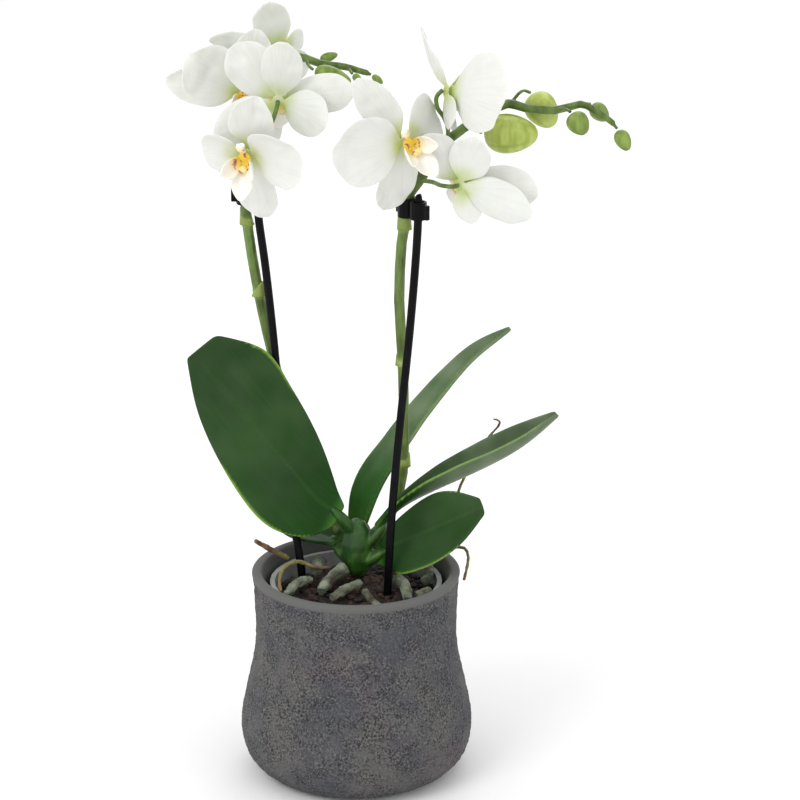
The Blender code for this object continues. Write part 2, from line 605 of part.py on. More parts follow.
add_cover_pot()
add_nursery_pot()
add_bark()
add_stem()
add_roots()
for leaf_name, leaf in LEAVES.items():
    add_leaf(leaf_name, leaf)
for spike_name, spike_points in SPIKES.items():
    add_spike(spike_name, spike_points)
for bud_name, bud in BUDS.items():
    add_bud(bud_name, bud)
for stake_name, stake_points in STAKES.items():
    add_tube(stake_name, stake_points, (STAKE_RADIUS,) * 2, BLACK_PLASTIC, 2)
for clip_name, (spike_at, stake_at) in CLIPS.items():
    add_clip(clip_name, spike_at, stake_at)
for flower_name, flower in FLOWERS.items():
    add_flower(flower_name, flower)
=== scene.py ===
# %% [markdown]
# # A potted moth orchid
#
# A moth orchid in flower, in a thin grey growing pot that stands inside a rough cement cover pot. Two
# green flower spikes are tied to black stakes by plastic clips, and arch over under white flowers
# and closed buds.
#
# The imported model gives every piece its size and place. Most pieces here start as a copy of their
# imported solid. The copy is merged, rounded and then shaped, so each stays where the model has it.
# That way was chosen because a plant's outline is free-form: drawing it twice would only make two
# outlines that differ.

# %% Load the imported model
import math
import random

import bpy
import numpy as np
from mathutils import Matrix, Vector, noise


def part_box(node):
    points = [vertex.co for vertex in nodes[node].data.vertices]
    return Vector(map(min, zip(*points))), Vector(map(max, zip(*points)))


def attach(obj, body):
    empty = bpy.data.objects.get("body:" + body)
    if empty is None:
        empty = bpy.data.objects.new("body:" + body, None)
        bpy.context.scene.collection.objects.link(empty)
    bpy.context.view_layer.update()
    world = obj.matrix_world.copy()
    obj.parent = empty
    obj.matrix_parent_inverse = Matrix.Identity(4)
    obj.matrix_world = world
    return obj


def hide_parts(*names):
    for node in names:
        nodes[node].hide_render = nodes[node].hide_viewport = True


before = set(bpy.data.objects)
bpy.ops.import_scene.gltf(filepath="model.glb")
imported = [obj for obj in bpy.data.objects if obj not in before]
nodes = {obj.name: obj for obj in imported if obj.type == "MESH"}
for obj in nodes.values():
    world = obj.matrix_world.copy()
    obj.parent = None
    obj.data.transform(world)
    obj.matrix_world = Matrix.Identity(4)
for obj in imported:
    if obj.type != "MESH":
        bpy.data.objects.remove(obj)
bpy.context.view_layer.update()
MM = 0.001
random.seed(7)

# %% [markdown]
# ## Small helpers
#
# An operator works on whatever is selected, so one helper selects a single object. A second sets
# a smooth step between two values, which is how one finish fades into another.

# %% Select one object, and fade between two values
def select_only(obj):
    bpy.ops.object.select_all(action="DESELECT")
    obj.select_set(True)
    bpy.context.view_layer.objects.active = obj


def fade(value, start, end):
    share = np.clip((value - start) / (end - start), 0.0, 1.0)
    return share * share * (3.0 - 2.0 * share)


# %% [markdown]
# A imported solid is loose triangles. Its copy is merged into one skin and its triangles are paired
# into quads, because Subdivision Surface rounds quads evenly and leaves dents on triangles.

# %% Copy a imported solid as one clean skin
def clean_copy(node_name, piece_name):
    piece = bpy.data.objects.new(piece_name, nodes[node_name].data.copy())
    bpy.context.scene.collection.objects.link(piece)
    select_only(piece)
    piece.data.materials.clear()
    bpy.ops.mesh.customdata_custom_splitnormals_clear()
    bpy.ops.object.mode_set(mode="EDIT")
    bpy.ops.mesh.select_all(action="SELECT")
    bpy.ops.mesh.remove_doubles(threshold=0.00001)
    bpy.ops.mesh.tris_convert_to_quads(face_threshold=math.radians(50), shape_threshold=math.radians(60))
    bpy.ops.object.mode_set(mode="OBJECT")
    bpy.ops.object.shade_smooth()
    return piece


# %% [markdown]
# Two ways round a copy off. Subdivision Surface suits thin blades, because it keeps the wall.
# Voxel Remesh suits stems, roots and clips: it melts joined tubes into one skin, as growth or a
# mould does, and a few rounds of smoothing take the steps out.

# %% Round a copy with Subdivision Surface
def subdivided_copy(node_name, piece_name, levels):
    piece = clean_copy(node_name, piece_name)
    smoother = piece.modifiers.new("round", "SUBSURF")
    smoother.levels = smoother.render_levels = levels
    bpy.ops.object.modifier_apply(modifier=smoother.name)
    return piece


# %% [markdown]
# A crown is melted from several parts that don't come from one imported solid, so the melting has a
# function of its own. It works on the active object.

# %% Round a copy with Voxel Remesh
def melt(piece, voxel_mm, smoothing):
    piece.data.remesh_voxel_size = voxel_mm * MM
    bpy.ops.object.voxel_remesh()
    bpy.ops.object.mode_set(mode="EDIT")
    bpy.ops.mesh.select_all(action="SELECT")
    bpy.ops.mesh.vertices_smooth(factor=0.5, repeat=smoothing)
    bpy.ops.object.mode_set(mode="OBJECT")
    bpy.ops.object.shade_smooth()


def remeshed_copy(node_name, piece_name, voxel_mm, smoothing):
    piece = clean_copy(node_name, piece_name)
    melt(piece, voxel_mm, smoothing)
    return piece


# %% [markdown]
# Shaping moves points by a rule. The points are read as one array in millimetres, moved, and
# written back. A rule can also leave a value on each point, such as how far it is from a midrib,
# for the material to read.

# %% Read and write a piece's points, normals and values
def points_of(piece):
    points = np.empty(len(piece.data.vertices) * 3)
    piece.data.vertices.foreach_get("co", points)
    return points.reshape(-1, 3) / MM


def normals_of(piece):
    normals = np.empty(len(piece.data.vertices) * 3)
    piece.data.vertices.foreach_get("normal", normals)
    return normals.reshape(-1, 3)


def put_points(piece, points):
    piece.data.vertices.foreach_set("co", (points * MM).ravel())
    piece.data.update()


def leave_value(piece, name, values):
    kind = "FLOAT" if np.ndim(values) == 1 else "FLOAT_VECTOR"
    layer = piece.data.attributes.new(name, kind, "POINT")
    layer.data.foreach_set("value" if kind == "FLOAT" else "vector", np.ravel(values).astype(np.float32))


# %% [markdown]
# Nothing grown or cast is even. Noise sampled at every point bends surfaces by fractions of a
# millimetre, and its features have a size in millimetres, so that each can follow a real one.

# %% Noise at every point
def noise_at(points, feature_mm, octaves=3, seed=0.0):
    shift = Vector((seed, seed * 1.7, -seed))
    return np.array([noise.fractal(Vector(point) / feature_mm + shift, 0.6, 2.0, octaves)
                     for point in points])


# %% [markdown]
# A finished piece gets its material and rides on the model's one body. The imported solid it
# stands in for, if any, is hidden.

# %% Give a finished piece its material and its place on the model
def finish_piece(piece, finish, slot, *replaced):
    piece.data.materials.clear()
    piece.data.materials.append(finish)
    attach(piece, "root")
    if replaced:
        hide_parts(*replaced)
    return piece


# %% [markdown]
# ## Materials
#
# Colours are written as the hex values a paint shop would give, and one function turns them to
# Blender's linear values. Another adds a node with its settings and links. A noise pattern's Scale
# counts features in a metre, so it is written as one over the feature's real size.

# %% Colour and node helpers
FIRST, SECOND, BLENDED = 6, 7, 2    # a colour Mix node's two colour sockets, and its colour output


def linear(hex_colour):
    shares = [int(hex_colour[start:start + 2], 16) / 255 for start in (1, 3, 5)]
    return tuple(c / 12.92 if c <= 0.04045 else ((c + 0.055) / 1.055) ** 2.4 for c in shares) + (1.0,)


def add_node(tree, kind, settings=None, links=None):
    """A node with its own settings, its sockets' values, and links into its sockets."""
    made = tree.nodes.new(kind)
    for name, value in (settings or {}).items():
        if isinstance(name, str) and hasattr(made, name):
            setattr(made, name, value)
        else:
            made.inputs[name].default_value = value
    for name, source in (links or {}).items():
        tree.links.new(source, made.inputs[name])
    return made


def new_material(name, sockets):
    finish = bpy.data.materials.new(name)
    finish.use_nodes = True
    shader = finish.node_tree.nodes["Principled BSDF"]
    for socket, value in sockets.items():
        shader.inputs[socket].default_value = value
    return finish, finish.node_tree, shader


# %% [markdown]
# ### Cement
#
# The cover pot is cast cement that was brushed with a gritty slurry while wet. It is charcoal grey
# and fully matt. Smooth bluish patches about 25 mm wide alternate with granular ones, where grains
# a millimetre wide throw small shadows, with paler crumbs on top. Where the grit lies comes from
# the mesh, left there as a value, so that it agrees with the relief. The grains themselves are too
# fine to model, so they are bump and colour.

# %% The cement
def make_cement():
    finish, tree, shader = new_material("cast_cement", {"Roughness": 0.93})
    place = add_node(tree, "ShaderNodeTexCoord").outputs["Object"]
    gritty = add_node(tree, "ShaderNodeAttribute", {"attribute_name": "grit"}).outputs["Fac"]
    pits = add_node(tree, "ShaderNodeAttribute", {"attribute_name": "pits"}).outputs["Fac"]
    rim = add_node(tree, "ShaderNodeAttribute", {"attribute_name": "rim_band"}).outputs["Fac"]

    # 25 mm clouds of blue-grey and brown-grey, and a warm tint in 38 mm patches
    clouds = add_node(tree, "ShaderNodeTexNoise", {"Scale": 1 / (25 * MM), "Detail": 4.0}, {"Vector": place})
    cloudy = add_node(tree, "ShaderNodeMapRange", {"From Min": 0.40, "From Max": 0.62},
                      {"Value": clouds.outputs["Fac"]})
    smooth = add_node(tree, "ShaderNodeMix",
                      {"data_type": "RGBA", FIRST: linear("#4A4B50"), SECOND: linear("#5B5A59")},
                      {"Factor": cloudy.outputs["Result"]})
    tint = add_node(tree, "ShaderNodeTexNoise", {"Scale": 1 / (38.5 * MM), "Detail": 4.0}, {"Vector": place})
    tinted = add_node(tree, "ShaderNodeMapRange", {"From Min": 0.54, "From Max": 0.70, "To Max": 0.5},
                      {"Value": tint.outputs["Fac"]})
    warm = add_node(tree, "ShaderNodeMix", {"data_type": "RGBA", SECOND: linear("#64575A")},
                    {"Factor": tinted.outputs["Result"], FIRST: smooth.outputs[BLENDED]})

    # 1 mm grains: dark between them, pale on top, and only where there is grit
    grains = add_node(tree, "ShaderNodeTexNoise", {"Scale": 1 / (1.0 * MM), "Detail": 4.0},
                      {"Vector": place}).outputs["Fac"]
    low = add_node(tree, "ShaderNodeMapRange", {"From Min": 0.52, "From Max": 0.40}, {"Value": grains})
    high = add_node(tree, "ShaderNodeMapRange", {"From Min": 0.57, "From Max": 0.68, "To Max": 0.7},
                    {"Value": grains})
    shadow = add_node(tree, "ShaderNodeMath", {"operation": "MULTIPLY"},
                      {0: low.outputs["Result"], 1: gritty})
    crumbs = add_node(tree, "ShaderNodeMath", {"operation": "MULTIPLY"},
                      {0: high.outputs["Result"], 1: gritty})
    shaded = add_node(tree, "ShaderNodeMix", {"data_type": "RGBA", SECOND: linear("#29282A")},
                      {"Factor": shadow.outputs["Value"], FIRST: warm.outputs[BLENDED]})
    crumbled = add_node(tree, "ShaderNodeMix", {"data_type": "RGBA", SECOND: linear("#7E7B79")},
                        {"Factor": crumbs.outputs["Value"], FIRST: shaded.outputs[BLENDED]})
    # the pits darkened almost to black: painted shade in the hollows
    pit_shaded = add_node(tree, "ShaderNodeMix", {"data_type": "RGBA", SECOND: linear("#232224")},
                      {"Factor": pits, FIRST: crumbled.outputs[BLENDED]})
    banded = add_node(tree, "ShaderNodeMix", {"data_type": "RGBA", SECOND: linear("#5F5F5E")},
                      {"Factor": rim, FIRST: pit_shaded.outputs[BLENDED]})
    tree.links.new(banded.outputs[BLENDED], shader.inputs["Base Color"])

    height = add_node(tree, "ShaderNodeMath", {"operation": "MULTIPLY"}, {0: grains, 1: gritty})
    bump = add_node(tree, "ShaderNodeBump", {"Strength": 1.0, "Distance": 1.0 * MM},
                    {"Height": height.outputs["Value"]})
    tree.links.new(bump.outputs["Normal"], shader.inputs["Normal"])
    return finish


CEMENT = make_cement()
print(CEMENT.name, len(CEMENT.node_tree.nodes), "nodes")

# %% [markdown]
# ### Plastics
#
# The growing pot is thin grey polypropylene, moulded, with a dull sheen. The stakes are
# black-coated and the clips are moulded black polystyrene, so both show a narrow highlight. The
# three differ only in colour and gloss, so one function makes them. Dust lies in 6 mm patches, and
# the mould leaves a grain of half a millimetre.

# %% The plastics
def make_plastic(name, colour, dusty, roughness, grain_strength):
    finish, tree, shader = new_material(name, {"Roughness": roughness, "IOR": 1.5,
                                               "Specular IOR Level": 0.1})
    place = add_node(tree, "ShaderNodeTexCoord").outputs["Object"]
    patches = add_node(tree, "ShaderNodeTexNoise", {"Scale": 1 / (6.25 * MM), "Detail": 3.0},
                       {"Vector": place})
    dust = add_node(tree, "ShaderNodeMapRange", {"From Min": 0.4, "From Max": 0.75, "To Max": 0.7},
                    {"Value": patches.outputs["Fac"]})
    dusted = add_node(tree, "ShaderNodeMix",
                      {"data_type": "RGBA", FIRST: linear(colour), SECOND: linear(dusty)},
                      {"Factor": dust.outputs["Result"]})
    tree.links.new(dusted.outputs[BLENDED], shader.inputs["Base Color"])

    grain = add_node(tree, "ShaderNodeTexNoise", {"Scale": 1 / (0.4545 * MM), "Detail": 2.0},
                     {"Vector": place})
    bump = add_node(tree, "ShaderNodeBump", {"Strength": grain_strength, "Distance": 0.1 * MM},
                    {"Height": grain.outputs["Fac"]})
    tree.links.new(bump.outputs["Normal"], shader.inputs["Normal"])
    return finish


POT_PLASTIC = make_plastic("moulded_grey_polypropylene", "#9A9D9B", "#7F827F", 0.55, 0.2)
CLIP_PLASTIC = make_plastic("moulded_black_polystyrene", "#050506", "#0D0D0F", 0.3, 0.1)
STAKE_COATING = make_plastic("black_stake_coating", "#060608", "#101014", 0.38, 0.25)
print(POT_PLASTIC.name, CLIP_PLASTIC.name, STAKE_COATING.name)

# %% [markdown]
# ### Bark
#
# Orchids grow in chipped pine bark: dark brown, some chips reddish, cork-like and dry. Every chip
# has its own tone, left on its points as a value, so that one material serves them all. Its fibres
# are 2 mm long and a third as thick.

# %% The bark
def make_bark():
    finish, tree, shader = new_material("chipped_pine_bark", {"Roughness": 0.9})
    place = add_node(tree, "ShaderNodeTexCoord").outputs["Object"]
    tone = add_node(tree, "ShaderNodeAttribute", {"attribute_name": "tone"}).outputs["Fac"]
    squeezed = add_node(tree, "ShaderNodeMapping", {"Scale": (1.0, 1.0, 3.0)}, {"Vector": place})
    grain = add_node(tree, "ShaderNodeTexNoise", {"Scale": 1 / (2.0 * MM), "Detail": 5.0},
                     {"Vector": squeezed.outputs["Vector"]}).outputs["Fac"]
    toned = add_node(tree, "ShaderNodeMix",
                     {"data_type": "RGBA", FIRST: linear("#0D0907"), SECOND: linear("#3C241A")},
                     {"Factor": tone})
    fibres = add_node(tree, "ShaderNodeMapRange", {"From Min": 0.5, "From Max": 0.8, "To Max": 0.5},
                      {"Value": grain})
    fibrous = add_node(tree, "ShaderNodeMix", {"data_type": "RGBA", SECOND: linear("#6E5646")},
                       {"Factor": fibres.outputs["Result"], FIRST: toned.outputs[BLENDED]})
    tree.links.new(fibrous.outputs[BLENDED], shader.inputs["Base Color"])

    bump = add_node(tree, "ShaderNodeBump", {"Strength": 0.9, "Distance": 0.5 * MM}, {"Height": grain})
    tree.links.new(bump.outputs["Normal"], shader.inputs["Normal"])
    return finish


BARK = make_bark()
print(BARK.name)

# %% [markdown]
# ### Leaf
#
# An orchid leaf is thick and waxy, deep green above. Fine veins run along it about a millimetre
# apart, the midrib is a groove with a paler line, and the margin is a thin yellow-green line. Some
# leaves get a grey painted sheen, a painted reflection. The veins have to follow the leaf, so they
# read a place that was measured across and along it, and left on its points.

# %% The leaf
def make_leaf(name, dark, light):
    finish, tree, shader = new_material(name, {
        "Roughness": 0.36, "IOR": 1.36, "Specular IOR Level": 0.15, "Coat Weight": 0.04,
        "Coat Roughness": 0.2, "Subsurface Weight": 0.08, "Subsurface Radius": (0.4, 1.0, 0.2),
        "Subsurface Scale": 2 * MM})
    place = add_node(tree, "ShaderNodeTexCoord").outputs["Object"]
    blade = add_node(tree, "ShaderNodeAttribute", {"attribute_name": "blade"}).outputs["Vector"]
    veins = add_node(tree, "ShaderNodeTexNoise", {"Scale": 1.0, "Detail": 3.0},
                     {"Vector": blade}).outputs["Fac"]

    # 42 mm clouds of two greens, with the veins faintly over them
    clouds = add_node(tree, "ShaderNodeTexNoise", {"Scale": 1 / (41.7 * MM), "Detail": 2.0},
                      {"Vector": place})
    cloudy = add_node(tree, "ShaderNodeMapRange", {"From Min": 0.30, "From Max": 0.80},
                      {"Value": clouds.outputs["Fac"]})
    green = add_node(tree, "ShaderNodeMix",
                     {"data_type": "RGBA", FIRST: linear(dark), SECOND: linear(light)},
                     {"Factor": cloudy.outputs["Result"]})
    faint = add_node(tree, "ShaderNodeMapRange", {"From Min": 0.5, "From Max": 0.8, "To Max": 0.16},
                     {"Value": veins})
    colour = add_node(tree, "ShaderNodeMix", {"data_type": "RGBA", SECOND: linear("#2E6024")},
                      {"Factor": faint.outputs["Result"], FIRST: green.outputs[BLENDED]})

    # the parts of a leaf with a colour of their own, and the grey painted sheen (a painted reflection), each
    # where its value says
    for part, shade in (("midrib", "#3F7A33"), ("margin", "#7DA63C"), ("painted_sheen", "#78886A"),
                        ("base", "#4F7E30")):
        where = add_node(tree, "ShaderNodeAttribute", {"attribute_name": part}).outputs["Fac"]
        colour = add_node(tree, "ShaderNodeMix", {"data_type": "RGBA", SECOND: linear(shade)},
                          {"Factor": where, FIRST: colour.outputs[BLENDED]})
    tree.links.new(colour.outputs[BLENDED], shader.inputs["Base Color"])

    bump = add_node(tree, "ShaderNodeBump", {"Strength": 0.15, "Distance": 0.2 * MM}, {"Height": veins})
    tree.links.new(bump.outputs["Normal"], shader.inputs["Normal"])
    return finish


LEAF = make_leaf("waxy_orchid_leaf", "#12340B", "#1D4611")
YOUNG_LEAF = make_leaf("paler_orchid_leaf", "#1B4511", "#3A6A2C")
print(LEAF.name, YOUNG_LEAF.name)

# %% [markdown]
# ### Spike, crown and bud
#
# Young green growth: a satin skin, mid green on the spikes, yellow-green on the buds, with pale
# rings at the spikes' joints and painted shade in the buds' furrows. The skin is streaked lengthwise,
# in streaks 4 mm wide and four times as long. The pale parts and the painted shade are left on the
# points as one value.

# %% The green growth
def make_growth(name, dark, light, pale_mark_and_shade, roughness):
    finish, tree, shader = new_material(name, {
        "Roughness": roughness, "IOR": 1.43, "Subsurface Weight": 0.12,
        "Subsurface Radius": (0.5, 1.0, 0.2), "Subsurface Scale": 2 * MM})
    place = add_node(tree, "ShaderNodeTexCoord").outputs["Object"]
    pale_marks_and_shade = add_node(tree, "ShaderNodeAttribute", {"attribute_name": "pale_mark_and_shade"}).outputs["Fac"]
    drawn_out = add_node(tree, "ShaderNodeMapping", {"Scale": (1.0, 1.0, 0.25)}, {"Vector": place})
    streaks = add_node(tree, "ShaderNodeTexNoise", {"Scale": 1 / (4.17 * MM), "Detail": 4.0},
                       {"Vector": drawn_out.outputs["Vector"]}).outputs["Fac"]
    streaky = add_node(tree, "ShaderNodeMapRange", {"From Min": 0.35, "From Max": 0.65},
                       {"Value": streaks})
    green = add_node(tree, "ShaderNodeMix",
                     {"data_type": "RGBA", FIRST: linear(dark), SECOND: linear(light)},
                     {"Factor": streaky.outputs["Result"]})
    # the third colour: pale marks on spikes, bracts and crown; on buds it is darker, painted shade in the
    # furrows
    ringed_and_shaded = add_node(tree, "ShaderNodeMix", {"data_type": "RGBA", SECOND: linear(pale_mark_and_shade)},
                      {"Factor": pale_marks_and_shade, FIRST: green.outputs[BLENDED]})
    tree.links.new(ringed_and_shaded.outputs[BLENDED], shader.inputs["Base Color"])

    bump = add_node(tree, "ShaderNodeBump", {"Strength": 0.25, "Distance": 0.3 * MM},
                    {"Height": streaks})
    tree.links.new(bump.outputs["Normal"], shader.inputs["Normal"])
    return finish


SPIKE_SKIN = make_growth("spike_skin", "#44561C", "#66803A", "#A3B45C", 0.38)
CROWN_SKIN = make_growth("crown_skin", "#1B3E12", "#2F5A1E", "#4F7428", 0.4)
# a bud's third colour is darker than its skin: painted shade for its furrows
BUD_SKIN = make_growth("opening_bud_skin", "#9AAA42", "#BAC86C", "#7F9638", 0.42)
SMALL_BUD_SKIN = make_growth("young_bud_skin", "#5A7228", "#8A9E48", "#64802E", 0.42)
print(SPIKE_SKIN.name, CROWN_SKIN.name, BUD_SKIN.name, SMALL_BUD_SKIN.name)

# %% [markdown]
# ### Roots
#
# Air roots wear a spongy silver skin over a green core, so they look pale grey-green with green
# showing where they are damp. Dead roots dry to brown string. Both are mottled in 8 mm spots,
# stained in 13 mm ones, and covered in fibres about a millimetre wide.

# %% The roots
def make_root(name, dark, light, stain):
    finish, tree, shader = new_material(name, {"Roughness": 0.75})
    place = add_node(tree, "ShaderNodeTexCoord").outputs["Object"]
    mottle = add_node(tree, "ShaderNodeTexNoise", {"Scale": 1 / (7.7 * MM), "Detail": 5.0},
                      {"Vector": place})
    mottled = add_node(tree, "ShaderNodeMapRange", {"From Min": 0.38, "From Max": 0.62},
                       {"Value": mottle.outputs["Fac"]})
    skin = add_node(tree, "ShaderNodeMix",
                    {"data_type": "RGBA", FIRST: linear(dark), SECOND: linear(light)},
                    {"Factor": mottled.outputs["Result"]})
    spots = add_node(tree, "ShaderNodeTexNoise", {"Scale": 1 / (13.3 * MM), "Detail": 4.0},
                     {"Vector": place})
    spotted = add_node(tree, "ShaderNodeMapRange", {"From Min": 0.50, "From Max": 0.64, "To Max": 0.9},
                       {"Value": spots.outputs["Fac"]})
    stained = add_node(tree, "ShaderNodeMix", {"data_type": "RGBA", SECOND: linear(stain)},
                       {"Factor": spotted.outputs["Result"], FIRST: skin.outputs[BLENDED]})
    tree.links.new(stained.outputs[BLENDED], shader.inputs["Base Color"])

    fibres = add_node(tree, "ShaderNodeTexNoise", {"Scale": 1 / (1.11 * MM), "Detail": 4.0},
                      {"Vector": place})
    bump = add_node(tree, "ShaderNodeBump", {"Strength": 0.9, "Distance": 0.6 * MM},
                    {"Height": fibres.outputs["Fac"]})
    tree.links.new(bump.outputs["Normal"], shader.inputs["Normal"])
    return finish


AIR_ROOT = make_root("silver_air_root", "#46503A", "#868C78", "#382C22")
DRY_ROOT = make_root("dry_root_fibre", "#4A3626", "#8E7452", "#8A8A48")
print(AIR_ROOT.name, DRY_ROOT.name)

# %% [markdown]
# ### Petals
#
# A petal is white only because air fills its cells: light goes in and scatters, so it has no
# paint-like flatness. Subsurface scattering gives that. Faint veins fan out from the hub, and the
# white turns yellow-green near the hub. The fan is a place left on the points, because no straight
# or round pattern spreads as veins do.

# %% The petals
def make_petal():
    finish, tree, shader = new_material("white_petal_tissue", {
        "Roughness": 0.5, "IOR": 1.4, "Subsurface Weight": 0.35,
        "Subsurface Radius": (1.0, 1.0, 0.8), "Subsurface Scale": 2 * MM, "Sheen Weight": 0.08})
    fan = add_node(tree, "ShaderNodeAttribute", {"attribute_name": "fan"}).outputs["Vector"]
    near_hub = add_node(tree, "ShaderNodeAttribute", {"attribute_name": "green"}).outputs["Fac"]
    veins = add_node(tree, "ShaderNodeTexNoise", {"Scale": 1.0, "Detail": 3.0},
                     {"Vector": fan}).outputs["Fac"]
    faint = add_node(tree, "ShaderNodeMapRange", {"From Min": 0.40, "From Max": 0.80, "To Max": 0.4},
                     {"Value": veins})
    white = add_node(tree, "ShaderNodeMix",
                     {"data_type": "RGBA", FIRST: linear("#DADBD7"), SECOND: linear("#CACDC4")},
                     {"Factor": faint.outputs["Result"]})
    tinted = add_node(tree, "ShaderNodeMix", {"data_type": "RGBA", SECOND: linear("#AEBE5C")},
                      {"Factor": near_hub, FIRST: white.outputs[BLENDED]})
    tree.links.new(tinted.outputs[BLENDED], shader.inputs["Base Color"])

    bump = add_node(tree, "ShaderNodeBump", {"Strength": 0.12, "Distance": 0.3 * MM}, {"Height": veins})
    tree.links.new(bump.outputs["Normal"], shader.inputs["Normal"])
    return finish


PETAL = make_petal()
print(PETAL.name)

# %% [markdown]
# ### Lip
#
# The lip is the small, stiff petal that insects land on. Its ends are white, its throat yellow,
# and red-purple spots about 2 mm wide gather round the raised callus in the middle. How far a
# point lies from the hub, in millimetres, says which of these it is.

# %% The lip
def make_lip():
    finish, tree, shader = new_material("lip_tissue", {
        "Roughness": 0.42, "IOR": 1.4, "Subsurface Weight": 0.2, "Subsurface Scale": 1 * MM})
    place = add_node(tree, "ShaderNodeTexCoord").outputs["Object"]
    reach = add_node(tree, "ShaderNodeAttribute", {"attribute_name": "reach"}).outputs["Fac"]
    outer = add_node(tree, "ShaderNodeMapRange", {"From Min": 6.0, "From Max": 12.0}, {"Value": reach})
    body = add_node(tree, "ShaderNodeMix",
                    {"data_type": "RGBA", FIRST: linear("#F0D24C"), SECOND: linear("#EFEDE4")},
                    {"Factor": outer.outputs["Result"]})
    spots = add_node(tree, "ShaderNodeTexNoise", {"Scale": 1 / (2.38 * MM), "Detail": 2.0},
                     {"Vector": place})
    spotted = add_node(tree, "ShaderNodeMapRange", {"From Min": 0.56, "From Max": 0.64},
                       {"Value": spots.outputs["Fac"]})
    near = add_node(tree, "ShaderNodeMapRange", {"From Min": 12.0, "From Max": 7.0}, {"Value": reach})
    gathered = add_node(tree, "ShaderNodeMath", {"operation": "MULTIPLY"},
                        {0: spotted.outputs["Result"], 1: near.outputs["Result"]})
    marked = add_node(tree, "ShaderNodeMix", {"data_type": "RGBA", SECOND: linear("#A04C72")},
                      {"Factor": gathered.outputs["Value"], FIRST: body.outputs[BLENDED]})
    tree.links.new(marked.outputs[BLENDED], shader.inputs["Base Color"])

    skin = add_node(tree, "ShaderNodeTexNoise", {"Scale": 1 / (1.43 * MM), "Detail": 3.0},
                    {"Vector": place})
    bump = add_node(tree, "ShaderNodeBump", {"Strength": 0.3, "Distance": 0.3 * MM},
                    {"Height": skin.outputs["Fac"]})
    tree.links.new(bump.outputs["Normal"], shader.inputs["Normal"])
    return finish


LIP = make_lip()
print(LIP.name)

# %% [markdown]
# ## The cover pot
#
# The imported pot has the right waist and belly. Its copy is divided finely enough for real relief:
# a crust half a millimetre high, and pits where crumbs of it have fallen away. The rim and the
# inside stay smooth.

# %% The cover pot
PATCH_MM, CRUST_MM, PIT_MM, PIT_CLUSTER_MM = 10.0, 3.2, 2.2, 9.0
CRUST_HEIGHT, PIT_DEPTH = 0.45, 0.6


def make_cover_pot():
    pot = subdivided_copy("cover_pot", "cover_pot_cement", 3)
    points, normals = points_of(pot), normals_of(pot)
    radius = np.hypot(points[:, 0], points[:, 1])
    outward = (points[:, 0] * normals[:, 0] + points[:, 1] * normals[:, 1]) / np.maximum(radius, 0.001)
    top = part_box("cover_pot")[1].z / MM
    rough = fade(outward, 0.2, 0.5) * fade(points[:, 2], top - 2.5, top - 4.5)
    patches = fade(noise_at(points, PATCH_MM, 4, 9.0), -0.7, 0.35)
    crust = noise_at(points, CRUST_MM, 4) * (0.35 + 0.65 * patches)
    cells = np.array([noise.voronoi(Vector(point) / PIT_MM)[0][0] for point in points])
    pits = fade(cells, 0.30, 0.14) * fade(noise_at(points, PIT_CLUSTER_MM, 2, 4.0), 0.0, 0.4) * rough
    points += normals * (rough * (CRUST_HEIGHT * crust - 0.12) - PIT_DEPTH * pits)[:, None]
    put_points(pot, points)
    leave_value(pot, "grit", rough * (0.35 + 0.65 * patches))
    # how strongly each pit gets its painted shade, for the cement's colour
    leave_value(pot, "pits", 0.7 * pits)
    leave_value(pot, "rim_band", 1.0 - rough)
    return finish_piece(pot, CEMENT, "cement", "cover_pot")


cover_pot = make_cover_pot()
print("cover pot", len(cover_pot.data.polygons), "faces")

# %% [markdown]
# ## The growing pot and the bark
#
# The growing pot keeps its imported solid, because its round wall is already right, and only takes
# its material.

# %% The growing pot
nodes["nursery_pot"].data.materials.clear()
nodes["nursery_pot"].data.materials.append(POT_PLASTIC)

# %% [markdown]
# The bark is a dark bed with a few hundred chips scattered on it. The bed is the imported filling,
# rounded once, and only shows in the gaps between chips.

# %% The bark bed
def make_bark_bed():
    bed = subdivided_copy("bark_mix", "bark_bed", 1)
    leave_value(bed, "tone", np.zeros(len(bed.data.vertices)))
    return finish_piece(bed, BARK, "bark", "bark_mix")


bark_bed = make_bark_bed()

# %% [markdown]
# A chip is a ball of twenty faces, pushed out of shape and pressed to a flat flake. That is coarse,
# but there are hundreds, each a few millimetres long. Each gets its own shape, size, turn and tone,
# and they lie on the mound of the mix: highest in the middle.

# %% The bark chips
CHIPS = 420
MOUND_DROP = 5.0      # how much lower the chips lie at the wall, in mm
bed_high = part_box("bark_mix")[1]


def chip_mesh(size_mm, place, turn, tone, number):
    """One flake of bark: a ball with its corners pushed about, pressed flat."""
    bpy.ops.mesh.primitive_ico_sphere_add(subdivisions=1, radius=MM)
    chip = bpy.context.object
    points = points_of(chip)
    points *= 1.0 + 0.35 * noise_at(points, 0.6, 1, number)[:, None]
    points *= (size_mm, size_mm * 0.7, size_mm * 0.4)
    put_points(chip, points @ np.array(turn.to_matrix()).T + place)
    leave_value(chip, "tone", np.full(len(points), tone))
    return chip


